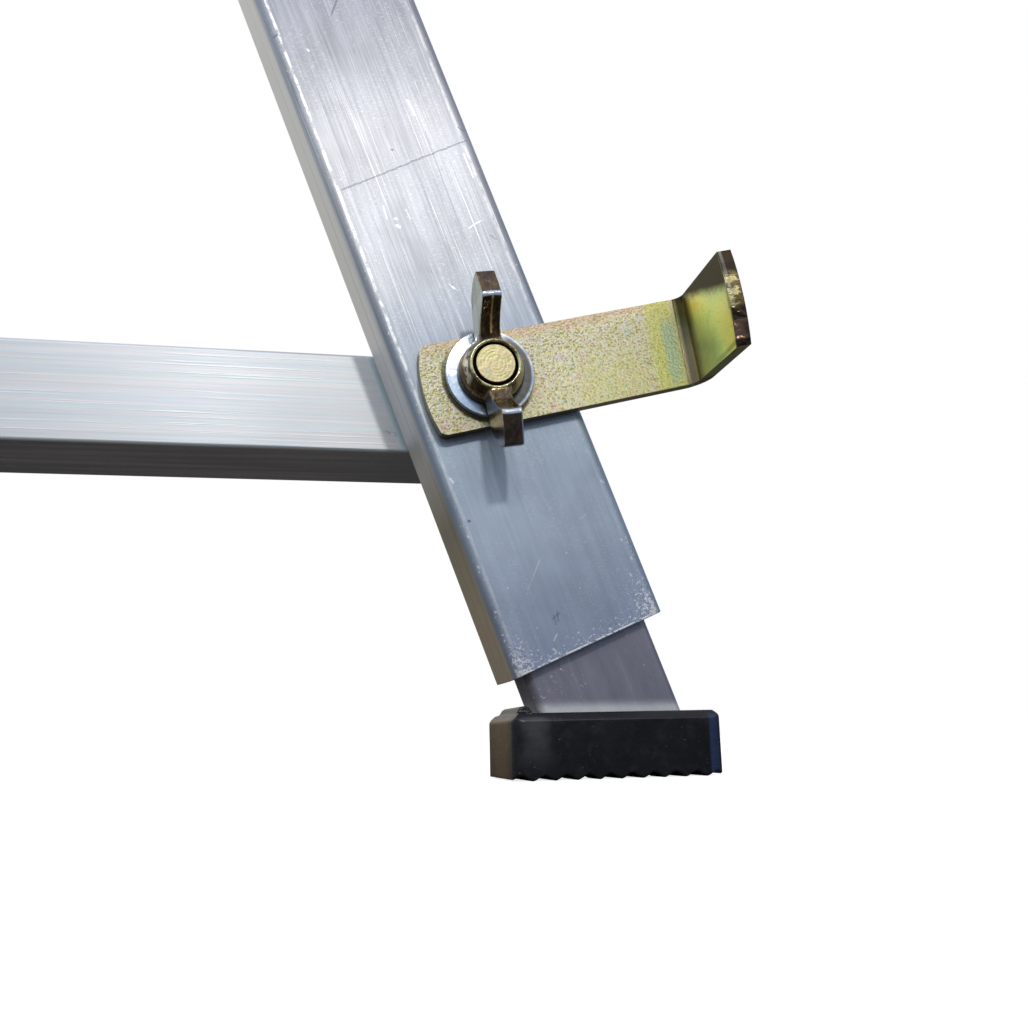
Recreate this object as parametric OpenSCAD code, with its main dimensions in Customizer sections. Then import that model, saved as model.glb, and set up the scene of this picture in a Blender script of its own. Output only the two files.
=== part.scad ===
// Ladder stabilizer: two leaning telescopic legs clamped to a crossbar, with levers, wing nuts and rubber feet.
// Millimetres. X runs along the crossbar, Y points to the back, Z is up. The floor is Z = 0.

/* [Layout] */

// Distance between the two clamp bolts
bolt_spacing = 680; // [680:10:900]

// Height of the clamp bolts above the floor
bolt_height = 92; // [88:1:110]

// Lean of the legs from vertical, in degrees
leg_lean = 20.2; // [12:0.1:24]

/* [Outer leg tube] */

// Width of the outer leg tube
leg_w = 40; // [38:0.5:50]

// Depth of the outer leg tube
leg_d = 20; // [20:0.5:25]

// Wall of the outer leg tube
leg_wall = 2; // [1.6:0.1:2.2]

// Corner radius of the outer leg tube
leg_r = 3; // [2.5:0.1:4]

// Length of the outer leg tube above the clamp bolt
leg_up = 330; // [300:5:335]

// Length of the outer leg tube below the clamp bolt
leg_down = 66.4; // [60:0.1:68]

// Slant of the saw cut at the outer leg tube's lower end, in degrees
leg_cut = 3.3; // [0:0.1:4]

// Distance from the clamp bolt up to the hole for the ladder stile
stile_hole_up = 310; // [285:1:312]

// Diameter of the hole for the ladder stile's bolt
stile_hole_d = 10.5; // [8:0.1:11]

/* [Inner leg tube] */

// Width of the inner leg tube
inner_w = 32.4; // [31:0.1:33]

// Depth of the inner leg tube
inner_d = 13.6; // [13:0.1:14]

// Wall of the inner leg tube
inner_wall = 1.8; // [1.5:0.1:2]

// Corner radius of the inner leg tube
inner_r = 2; // [1.9:0.1:2.5]

// How far the inner leg slides out
slide_out = 150; // [100:5:150]

// How far the inner leg slides in
slide_in = 5; // [2:1:5]

// Width of the slot that the clamp bolt runs in
slot_w = 10.6; // [10.4:0.1:12]

/* [Crossbar] */

// Height of the crossbar
crossbar_h = 25.4; // [22:0.1:30]

// Depth of the crossbar
crossbar_d = 31.8; // [25:0.1:40]

// Wall of the crossbar
crossbar_wall = 2; // [1.6:0.1:2.5]

// Corner radius of the crossbar
crossbar_r = 1; // [0.8:0.1:3]

// Length of the crossbar beyond each clamp bolt
crossbar_over = 13.5; // [12:0.5:15]

/* [Lever plate] */

// Width of the lever plate
plate_w = 22; // [20:0.1:24]

// Thickness of the lever plate
plate_t = 3.5; // [3:0.1:4]

// Rise of the lever plate, in degrees
plate_angle = 14.2; // [0:0.1:30]

// Length of the lever plate behind the clamp bolt
plate_back = 16; // [14:0.5:20]

// Length of the flat of the lever plate in front of the clamp bolt
plate_front = 49.2; // [40:0.1:60]

// Inside radius of the bend
bend_r = 2.2; // [2:0.1:5]

// Straight length of the tab after the bend
tab_length = 22.9; // [15:0.1:25]

// Skew of the bend line, in degrees
bend_skew = 5.9; // [0:0.1:8]

// How much wider the tab is at its end than at the bend
tab_flare = 0.8; // [0:0.1:2]

/* [Clamp bolt and wing nut] */

// Diameter of the clamp bolt
bolt_d = 10; // [8:1:10]

// Outside diameter of the washers
washer_d = 21; // [18:0.5:22]

// Thickness of the washers
washer_t = 2; // [1.5:0.1:2.5]

// Diameter of the wing nut's base
hub_d = 15.7; // [14:0.1:18]

// Height of the wing nut's hub
hub_h = 6.6; // [6:0.1:8]

// Span across the wings
wing_span = 41; // [36:0.5:45]

// Thickness of the wings at the front
wing_t = 3.8; // [3:0.1:5]

// Thickness of the wings at the back
wing_back_t = 5.4; // [5:0.1:6]

// Reach of the wings in front of the nut's base
wing_reach = 13.9; // [13:0.1:15]

// Turn of the wings from upright, in degrees
wing_turn = 8.4; // [0:0.1:45]

/* [Rubber foot] */

// Width of the rubber foot
foot_w = 48.6; // [46:0.1:56]

// Depth of the rubber foot
foot_d = 31; // [28:0.5:36]

// Height of the rubber foot
foot_h = 14.6; // [13:0.1:15]

// Corner radius of the rubber foot
foot_r = 2.5; // [2:0.5:6]

// Spacing of the teeth on the sole
tooth_pitch = 5; // [4:0.1:8]

// Depth of the teeth on the sole
tooth_depth = 1.2; // [0.8:0.1:2]

/* [Hidden] */

$fn = 64;
eps = 0.01;
gap = 0.1;
run = 0.08;
hold = 0.02;
big = 200;

plate_y = -gap - plate_t;
front_washer_y = plate_y - gap - washer_t;
nut_y = front_washer_y - gap;
bolt_end_y = nut_y - hub_h + gap;
tab_end_y = plate_y - bend_r - tab_length;

crossbar_y = leg_d + gap;
rear_washer_y = crossbar_y + crossbar_d;
head_y = rear_washer_y + washer_t;
head_h = 6.4;
head_r = 17 / sqrt(3);
back_y = head_y + head_h;

// Where the legs' front face lies, so that the whole part is centred on Y = 0
leg_front_y = -(tab_end_y + back_y) / 2;

inner_y = (leg_d - inner_d) / 2;
inner_top = slide_out + 32;
slot_top = slide_out + slot_w / 2;
slot_bottom = -slide_in - slot_w / 2;

foot_top = foot_h - bolt_height;
foot_y = inner_y + inner_d / 2 + 1.5 - foot_d / 2;
foot_x = -foot_top * tan(leg_lean) - 0.4;
foot_chamfer = 1.6;
socket_depth = 6;
socket_z = foot_top - socket_depth;
collar_r = 1.7;

guide_top = -30;
guide_bottom = -leg_down + 3;
glide_h = 16;
bush_wall = 2.5;
bush_flange = 1;
cap_t = 2.5;
cap_depth = 14;
end_plug_t = 2;
end_plug_depth = 15;
sleeve_r = 8;

plate_side = -0.8;
end_bulge_r = 34;
plate_corner = 2;

screw_r = 2.5;
screw_head_r = 4.4;
screw_reach = 13;
screw_offset = 8;
screw_sink = 4.4;
plug_h = 20;

// Helpers

// Draws its children at the right-hand clamp bolt, on the leg's front face
module right_side() {
    translate([bolt_spacing / 2, leg_front_y, bolt_height]) children();
}

// The same for the left-hand side, as a mirror image
module left_side() {
    mirror([1, 0, 0]) right_side() children();
}

// Turns Z to run up along the leaning leg
module along_leg() {
    rotate([0, -leg_lean, 0]) children();
}

// Turns X to run along the lever plate
module along_plate() {
    rotate([0, -plate_angle, 0]) children();
}

// A round bar along Y, from y0 to y1
module bar_y(r, y0, y1) {
    translate([0, y0, 0]) rotate([-90, 0, 0]) cylinder(r = r, h = y1 - y0);
}

// A flat rounded rectangle, centred
module rounded(w, d, r) {
    square([w - 2 * r, d], center = true);
    square([w, d - 2 * r], center = true);
    for (x = [-1, 1]) {
        for (y = [-1, 1]) {
            translate([x * (w / 2 - r), y * (d / 2 - r)]) circle(r = r);
        }
    }
}

// A solid bar of rounded section, z0 to z1, with its middle at y
module rounded_bar(w, d, r, y, z0, z1) {
    translate([0, y, z0]) linear_extrude(height = z1 - z0) rounded(w, d, r);
}

// Everything below the level z
module below(z) {
    translate([-big, -big, z - 2 * big]) cube(2 * big);
}

// Outer leg

module outer_leg_shape() {
    along_leg() difference() {
        rounded_bar(leg_w, leg_d, leg_r, leg_d / 2, -leg_down - 4, leg_up);
        rounded_bar(leg_w - 2 * leg_wall, leg_d - 2 * leg_wall, leg_r - leg_wall, leg_d / 2, -leg_down - 5, leg_up + 1);
        translate([0, 0, -leg_down]) rotate([0, -leg_cut, 0]) below(0);
        bar_y(bolt_d / 2 + run, -1, leg_d + 1);
        translate([0, 0, stile_hole_up]) bar_y(stile_hole_d / 2 + bush_wall, -1, leg_d + 1);
    }
}

module leg_top_plug_shape() {
    along_leg() {
        rounded_bar(leg_w, leg_d, leg_r, leg_d / 2, leg_up, leg_up + cap_t);
        difference() {
            rounded_bar(
                leg_w - 2 * leg_wall - 2 * hold, leg_d - 2 * leg_wall - 2 * hold, leg_r - leg_wall,
                leg_d / 2, leg_up - cap_depth, leg_up + eps
            );
            rounded_bar(leg_w - 4 * leg_wall, leg_d - 4 * leg_wall, leg_r - leg_wall, leg_d / 2, -1, leg_up - cap_t);
            translate([0, 0, stile_hole_up]) bar_y(stile_hole_d / 2 + bush_wall + 0.3, -1, leg_d + 1);
        }
    }
}

module stile_bush_shape() {
    along_leg() translate([0, 0, stile_hole_up]) difference() {
        union() {
            bar_y(stile_hole_d / 2 + bush_wall - hold, -bush_flange, leg_d);
            bar_y(stile_hole_d / 2 + 2 * bush_wall, -bush_flange, 0);
        }
        bar_y(stile_hole_d / 2, -bush_flange - 1, leg_d + 1);
    }
}

module lower_guide_shape() {
    along_leg() difference() {
        rounded_bar(
            leg_w - 2 * leg_wall - 2 * hold, leg_d - 2 * leg_wall - 2 * hold, leg_r - leg_wall,
            leg_d / 2, guide_bottom, guide_top
        );
        rounded_bar(
            inner_w + 2 * gap, inner_d + 2 * gap, inner_r - 0.6,
            leg_d / 2, guide_bottom - 1, guide_top + 1
        );
    }
}

// Inner leg and foot

module inner_leg_shape() {
    difference() {
        along_leg() difference() {
            rounded_bar(inner_w, inner_d, inner_r, leg_d / 2, -bolt_height - 20, inner_top);
            rounded_bar(
                inner_w - 2 * inner_wall, inner_d - 2 * inner_wall, inner_r - inner_wall,
                leg_d / 2, -bolt_height - 21, inner_top + 1
            );
            translate([0, 0, slot_bottom + slot_w / 2]) bar_y(slot_w / 2, -1, leg_d + 1);
            translate([0, 0, slot_top - slot_w / 2]) bar_y(slot_w / 2, -1, leg_d + 1);
            translate([-slot_w / 2, -1, slot_bottom + slot_w / 2]) cube([slot_w, leg_d + 2, slot_top - slot_bottom - slot_w]);
        }
        below(socket_z);
    }
}

module inner_top_glide_shape() {
    along_leg() {
        rounded_bar(
            leg_w - 2 * leg_wall - 2 * gap, leg_d - 2 * leg_wall - 2 * gap, leg_r - leg_wall + 0.4,
            leg_d / 2, inner_top, inner_top + 4
        );
        rounded_bar(
            inner_w - 2 * inner_wall - 2 * hold, inner_d - 2 * inner_wall - 2 * hold, 0.6,
            leg_d / 2, inner_top - glide_h, inner_top + eps
        );
    }
}

module foot_plug_shape() {
    difference() {
        along_leg() rounded_bar(
            inner_w - 2 * inner_wall - 2 * hold, inner_d - 2 * inner_wall - 2 * hold, 0.6,
            leg_d / 2, -bolt_height - 20, socket_z / cos(leg_lean) + plug_h
        );
        below(socket_z);
        foot_screw_holes(screw_r + hold);
    }
}

// Straight holes up through the sole, for the two screws
module foot_screw_holes(r) {
    for (x = [-1, 1]) {
        translate([screw_x(x), leg_d / 2, -bolt_height - 1]) cylinder(r = r, h = screw_sink + screw_reach + 1);
    }
}

function screw_x(side) = foot_x + 2 + side * screw_offset;

module sole_teeth() {
    count = floor(foot_w / tooth_pitch) + 1;
    half = tooth_pitch / 2 - 0.3;
    for (i = [0 : count]) {
        translate([foot_x - foot_w / 2 + (i + 0.36) * tooth_pitch, foot_y - 1, -bolt_height])
            rotate([-90, 0, 0])
            linear_extrude(height = foot_d + 2)
            polygon([[-half, 1], [-half, 0], [0, -tooth_depth], [half, 0], [half, 1]]);
    }
}

// The bevels round the foot's top edge
module foot_bevels() {
    translate([foot_x, foot_y + foot_d / 2, foot_top]) for (turn = [0, 90, 180, 270]) {
        reach = (turn % 180 == 0) ? foot_w / 2 : foot_d / 2;
        rotate([0, 0, turn]) translate([reach, big / 2, 0]) rotate([90, 0, 0]) linear_extrude(height = big)
            polygon([[-foot_chamfer, 0], [-foot_chamfer, 1], [1, 1], [1, -foot_chamfer], [0, -foot_chamfer]]);
    }
}

module rubber_foot_shape() {
    difference() {
        union() {
            difference() {
                translate([foot_x, 0, 0])
                    rounded_bar(foot_w, foot_d, foot_r, foot_y + foot_d / 2, -bolt_height, foot_top);
                foot_bevels();
            }
            translate([foot_x - inner_w / 2 - collar_r - 2.2, 0, foot_top]) bar_y(collar_r, inner_y, foot_y + foot_d - 3);
        }
        sole_teeth();
        difference() {
            along_leg() rounded_bar(
                inner_w + 2 * hold, inner_d + 2 * hold, inner_r,
                leg_d / 2, -bolt_height - 20, 0
            );
            below(socket_z);
        }
        foot_screw_holes(screw_r + hold);
        for (x = [-1, 1]) {
            translate([screw_x(x), leg_d / 2, -bolt_height - 1]) cylinder(r = screw_head_r + hold, h = screw_sink + 1);
        }
    }
}

module foot_screws_shape() {
    for (x = [-1, 1]) {
        translate([screw_x(x), leg_d / 2, -bolt_height + screw_sink - 2.4]) difference() {
            union() {
                cylinder(r = screw_head_r, h = 2.4);
                cylinder(r = screw_r, h = 1.4 + screw_reach);
            }
            translate([0, 0, -1]) cylinder(r = 1.5, h = 2.4, $fn = 6);
        }
    }
}

// Crossbar

module crossbar_shape() {
    half = bolt_spacing / 2 + crossbar_over;
    translate([0, leg_front_y, bolt_height]) difference() {
        rotate([90, 0, 90]) translate([crossbar_y + crossbar_d / 2, 0, -half])
            linear_extrude(height = 2 * half) rounded(crossbar_d, crossbar_h, crossbar_r);
        rotate([90, 0, 90]) translate([crossbar_y + crossbar_d / 2, 0, -half - 1])
            linear_extrude(height = 2 * half + 2)
            rounded(crossbar_d - 2 * crossbar_wall, crossbar_h - 2 * crossbar_wall, 0.5);
        for (x = [-1, 1]) {
            translate([x * bolt_spacing / 2, 0, 0]) bar_y(bolt_d / 2 + hold, 0, crossbar_y + crossbar_d + 1);
        }
    }
}

module crossbar_sleeve_shape() {
    difference() {
        bar_y(sleeve_r, crossbar_y + crossbar_wall, crossbar_y + crossbar_d - crossbar_wall);
        bar_y(bolt_d / 2 + hold, 0, crossbar_y + crossbar_d);
    }
}

module crossbar_end_plug_shape() {
    difference() {
        translate([crossbar_over, crossbar_y + crossbar_d / 2, 0]) rotate([90, 0, 90]) {
            linear_extrude(height = end_plug_t) rounded(crossbar_d, crossbar_h, crossbar_r);
            translate([0, 0, -end_plug_depth]) linear_extrude(height = end_plug_depth + eps)
                rounded(crossbar_d - 2 * crossbar_wall - 2 * hold, crossbar_h - 2 * crossbar_wall - 2 * hold, 0.5);
        }
        bar_y(sleeve_r + 0.3, 0, back_y);
        translate([-big, 0, -big]) cube([big, big, 2 * big]);
    }
}

// Clamp bolt, washers and wing nut

module clamp_bolt_shape() {
    chamfer = 0.6;
    bar_y(bolt_d / 2, bolt_end_y + chamfer, head_y + eps);
    translate([0, bolt_end_y, 0]) rotate([-90, 0, 0])
        cylinder(r1 = bolt_d / 2 - chamfer, r2 = bolt_d / 2, h = chamfer + eps);
    intersection() {
        translate([0, head_y, 0]) rotate([-90, 0, 0]) cylinder(r = head_r, h = head_h, $fn = 6);
        translate([0, head_y, 0]) rotate([-90, 0, 0]) cylinder(r1 = head_r + 3.6, r2 = head_r - 0.9, h = head_h);
    }
}

module washer_shape(y) {
    difference() {
        bar_y(washer_d / 2, y, y + washer_t);
        bar_y(bolt_d / 2 + run, y - 1, y + washer_t + 1);
    }
}

module wing_nut_shape() {
    shoulder = hub_d / 2;
    bore = bolt_d / 2 + run;
    translate([0, nut_y, 0]) rotate([0, -wing_turn, 0]) difference() {
        union() {
            rotate([90, 0, 0]) rotate_extrude() polygon([
                [0, 0], [shoulder, 0], [shoulder, 1.2], [shoulder - 0.5, 3.4],
                [shoulder - 1.5, 5.2], [shoulder - 2.3, hub_h], [0, hub_h]
            ]);
            for (side = [0, 1]) {
                mirror([0, 0, side]) wing_shape();
            }
        }
        bar_y(bore, -hub_h - 1, 1);
        translate([0, -hub_h - eps, 0]) rotate([-90, 0, 0]) cylinder(r1 = bore + 0.4, r2 = bore, h = 0.4);
    }
}

// One wing, standing up from the hub and reaching to the front
module wing_shape() {
    tip = wing_span / 2;
    deep = wing_back_t / 2;
    thin = wing_t / 2;
    intersection() {
        translate([big / 2, 0, 0]) rotate([0, -90, 180]) mirror([0, 0, 1]) linear_extrude(height = big) polygon([
            [hub_d / 2 - 2.4, 0.4], [hub_d / 2 + 1, 0.6], [11.6, 1.2], [14.6, 2.2], [17.2, 3.8],
            [tip - 1.5, 5.9], [tip - 0.3, 8.2], [tip, 10.2], [tip - 0.2, 11], [17.2, wing_reach - 1.3],
            [14, wing_reach - 0.1], [13.3, wing_reach], [12.5, wing_reach - 0.6], [11, wing_reach - 2.9],
            [9.4, 8.6], [hub_d / 2, 7.1], [hub_d / 2 - 1.3, hub_h - 0.3], [hub_d / 2 - 2.4, hub_h - 0.2]
        ]);
        linear_extrude(height = big) polygon([
            [-deep, 1], [deep, 1], [deep, -4], [thin, -9.5], [thin, -big], [-thin, -big], [-thin, -9.5], [-deep, -4]
        ]);
    }
}

// Lever plate: a flat with rounded ends, a bend, and a tab that points to the front

module lever_plate_shape() {
    along_plate() difference() {
        union() {
            plate_flat();
            intersection() {
                translate([plate_front, plate_y, plate_side]) rotate([0, bend_skew, 0]) plate_bend();
                plate_limits();
            }
        }
        bar_y(bolt_d / 2 + run, -plate_t - 2, 2);
    }
}

// The flat bar, with a bulging end on the left
module plate_flat() {
    corner_x = -plate_back + plate_corner + 1.2;
    intersection() {
        translate([0, -gap, plate_side]) rotate([90, 0, 0]) linear_extrude(height = plate_t) {
            difference() {
                union() {
                    translate([corner_x, -plate_w / 2]) square([plate_front + 3 - corner_x, plate_w]);
                    translate([-plate_back, -plate_w / 2 + plate_corner]) square([plate_back, plate_w - 2 * plate_corner]);
                    for (z = [-1, 1]) {
                        translate([corner_x, z * (plate_w / 2 - plate_corner)]) circle(r = plate_corner);
                    }
                }
                polygon([
                    [plate_front + plate_w * tan(bend_skew) / 2, plate_w / 2],
                    [plate_front + 9, plate_w / 2 + 1],
                    [plate_front + 9, -plate_w / 2 - 1],
                    [plate_front - plate_w * tan(bend_skew) / 2, -plate_w / 2]
                ]);
            }
        }
        translate([end_bulge_r - plate_back, 0, plate_side]) bar_y(end_bulge_r, -plate_t - 1, 1);
    }
}

// The bend and the tab, drawn upright at the end of the flat
module plate_bend() {
    outer_r = bend_r + plate_t;
    tall = plate_w + 20;
    translate([0, -bend_r, -tall / 2]) {
        intersection() {
            difference() {
                cylinder(r = outer_r, h = tall);
                translate([0, 0, -1]) cylinder(r = bend_r, h = tall + 2);
            }
            translate([-eps, 0, 0]) cube([outer_r + 1, outer_r + 1, tall]);
        }
        translate([bend_r, -tab_length, 0]) cube([plate_t, tab_length + eps, tall]);
    }
}

// The strip's two long edges, and the bulging end of the tab
module plate_limits() {
    bulge = 50;
    intersection() {
        translate([0, 0, plate_side]) rotate([90, 0, 90]) linear_extrude(height = big) polygon([
            [big, -plate_w / 2], [big, plate_w / 2], [plate_y, plate_w / 2],
            [tab_end_y, plate_w / 2 + tab_flare], [tab_end_y - 5, plate_w / 2 + tab_flare],
            [tab_end_y - 5, -plate_w / 2]
        ]);
        translate([0, tab_end_y + bulge, plate_side]) rotate([0, 90, 0]) cylinder(r = bulge, h = big);
    }
}

// Nodes

module crossbar() {
    color([0.78, 0.79, 0.8]) crossbar_shape();
}

module right_outer_leg_tube() {
    color([0.78, 0.79, 0.8]) right_side() outer_leg_shape();
}

module right_leg_top_plug() {
    color([0.08, 0.08, 0.08]) right_side() leg_top_plug_shape();
}

module right_stile_bush() {
    color([0.75, 0.76, 0.78]) right_side() stile_bush_shape();
}

module right_lower_guide() {
    color([0.15, 0.15, 0.15]) right_side() lower_guide_shape();
}

module right_inner_leg_tube() {
    color([0.6, 0.58, 0.6]) right_side() inner_leg_shape();
}

module right_inner_top_glide() {
    color([0.15, 0.15, 0.15]) right_side() inner_top_glide_shape();
}

module right_foot_plug() {
    color([0.15, 0.15, 0.15]) right_side() foot_plug_shape();
}

module right_rubber_foot() {
    color([0.05, 0.05, 0.05]) right_side() rubber_foot_shape();
}

module right_foot_screws() {
    color([0.7, 0.7, 0.72]) right_side() foot_screws_shape();
}

module right_clamp_bolt() {
    color([0.8, 0.72, 0.4]) right_side() clamp_bolt_shape();
}

module right_rear_washer() {
    color([0.75, 0.78, 0.82]) right_side() washer_shape(rear_washer_y);
}

module right_crossbar_sleeve() {
    color([0.75, 0.78, 0.82]) right_side() crossbar_sleeve_shape();
}

module right_crossbar_end_plug() {
    color([0.08, 0.08, 0.08]) right_side() crossbar_end_plug_shape();
}

module right_lever_plate() {
    color([0.75, 0.66, 0.32]) right_side() lever_plate_shape();
}

module right_front_washer() {
    color([0.75, 0.78, 0.82]) right_side() washer_shape(front_washer_y);
}

module right_wing_nut() {
    color([0.35, 0.27, 0.1]) right_side() wing_nut_shape();
}

module left_outer_leg_tube() {
    color([0.78, 0.79, 0.8]) left_side() outer_leg_shape();
}

module left_leg_top_plug() {
    color([0.08, 0.08, 0.08]) left_side() leg_top_plug_shape();
}

module left_stile_bush() {
    color([0.75, 0.76, 0.78]) left_side() stile_bush_shape();
}

module left_lower_guide() {
    color([0.15, 0.15, 0.15]) left_side() lower_guide_shape();
}

module left_inner_leg_tube() {
    color([0.6, 0.58, 0.6]) left_side() inner_leg_shape();
}

module left_inner_top_glide() {
    color([0.15, 0.15, 0.15]) left_side() inner_top_glide_shape();
}

module left_foot_plug() {
    color([0.15, 0.15, 0.15]) left_side() foot_plug_shape();
}

module left_rubber_foot() {
    color([0.05, 0.05, 0.05]) left_side() rubber_foot_shape();
}

module left_foot_screws() {
    color([0.7, 0.7, 0.72]) left_side() foot_screws_shape();
}

module left_clamp_bolt() {
    color([0.8, 0.72, 0.4]) left_side() clamp_bolt_shape();
}

module left_rear_washer() {
    color([0.75, 0.78, 0.82]) left_side() washer_shape(rear_washer_y);
}

module left_crossbar_sleeve() {
    color([0.75, 0.78, 0.82]) left_side() crossbar_sleeve_shape();
}

module left_crossbar_end_plug() {
    color([0.08, 0.08, 0.08]) left_side() crossbar_end_plug_shape();
}

module left_lever_plate() {
    color([0.75, 0.66, 0.32]) left_side() lever_plate_shape();
}

module left_front_washer() {
    color([0.75, 0.78, 0.82]) left_side() washer_shape(front_washer_y);
}

module left_wing_nut() {
    color([0.35, 0.27, 0.1]) left_side() wing_nut_shape();
}

crossbar();
right_outer_leg_tube();
right_leg_top_plug();
right_stile_bush();
right_lower_guide();
right_inner_leg_tube();
right_inner_top_glide();
right_foot_plug();
right_rubber_foot();
right_foot_screws();
right_clamp_bolt();
right_rear_washer();
right_crossbar_sleeve();
right_crossbar_end_plug();
right_lever_plate();
right_front_washer();
right_wing_nut();
left_outer_leg_tube();
left_leg_top_plug();
left_stile_bush();
left_lower_guide();
left_inner_leg_tube();
left_inner_top_glide();
left_foot_plug();
left_rubber_foot();
left_foot_screws();
left_clamp_bolt();
left_rear_washer();
left_crossbar_sleeve();
left_crossbar_end_plug();
left_lever_plate();
left_front_washer();
left_wing_nut();
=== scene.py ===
import math

import bpy
import numpy as np
from mathutils import Matrix, Vector


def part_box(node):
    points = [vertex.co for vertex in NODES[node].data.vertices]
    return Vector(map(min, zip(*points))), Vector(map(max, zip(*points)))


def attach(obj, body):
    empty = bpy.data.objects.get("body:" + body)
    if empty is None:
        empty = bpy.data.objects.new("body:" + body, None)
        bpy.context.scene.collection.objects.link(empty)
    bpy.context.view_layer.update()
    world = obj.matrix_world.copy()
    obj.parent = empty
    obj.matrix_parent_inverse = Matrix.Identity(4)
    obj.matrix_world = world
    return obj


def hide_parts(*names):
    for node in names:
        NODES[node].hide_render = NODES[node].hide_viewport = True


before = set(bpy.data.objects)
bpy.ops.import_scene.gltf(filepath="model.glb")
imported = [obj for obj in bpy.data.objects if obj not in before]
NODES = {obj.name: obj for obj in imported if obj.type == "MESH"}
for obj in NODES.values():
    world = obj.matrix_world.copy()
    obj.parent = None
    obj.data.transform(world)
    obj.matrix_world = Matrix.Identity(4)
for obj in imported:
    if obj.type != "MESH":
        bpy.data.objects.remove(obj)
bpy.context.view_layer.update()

# ---------------------------------------------------------------- measures, from the frame
MM = 0.001
SIDES = {"right": 1, "left": -1}
bolt_lo, bolt_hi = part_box("right_clamp_bolt")
BOLT_X = (bolt_lo.x + bolt_hi.x) / 2
BOLT_Z = (bolt_lo.z + bolt_hi.z) / 2
LEG_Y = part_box("right_outer_leg_tube")[0].y
LEAN = math.radians(20.2)
PLATE = math.radians(14.2)
WING_TURN = math.radians(8.4)
FLAT = math.radians(90)


def depth(y):
    """Millimetres behind the legs' front face of a place in the row frame."""
    return (y - LEG_Y) / MM


NUT_Y = depth(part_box("right_front_washer")[0].y) - 0.1
HEAD_Y = depth(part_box("right_rear_washer")[1].y)


def at_bolt(x, y, z):
    """A point given in millimetres from the right-hand clamp bolt, on the leg's front face."""
    return Vector((BOLT_X + x * MM, LEG_Y + y * MM, BOLT_Z + z * MM))


# ---------------------------------------------------------------- camera
CAMERA_FROM = (-43.2, -230.2, -83.0)  # millimetres from the right-hand clamp bolt
CAMERA_TURN = (-12.05, 12.21, -1.37)  # yaw, pitch and roll in degrees
SENSOR, LENS = 36, 36.45


def make_camera():
    data = bpy.data.cameras.new("camera")
    cam = bpy.data.objects.new("camera", data)
    bpy.context.scene.collection.objects.link(cam)
    data.sensor_width = SENSOR
    data.lens = LENS
    data.clip_start = 0.005
    yaw, pitch, roll = (math.radians(a) for a in CAMERA_TURN)
    ahead = Vector((-math.sin(yaw), math.cos(yaw), 0))
    side = Vector((math.cos(yaw), math.sin(yaw), 0))
    up = Vector((0, 0, 1))
    look = ahead * math.cos(pitch) + up * math.sin(pitch)
    top = up * math.cos(pitch) - ahead * math.sin(pitch)
    x = side * math.cos(roll) + top * math.sin(roll)
    y = top * math.cos(roll) - side * math.sin(roll)
    turn = Matrix((x, y, -look)).transposed().to_4x4()
    cam.matrix_world = Matrix.Translation(at_bolt(*CAMERA_FROM)) @ turn
    bpy.context.scene.camera = cam


make_camera()


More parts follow.
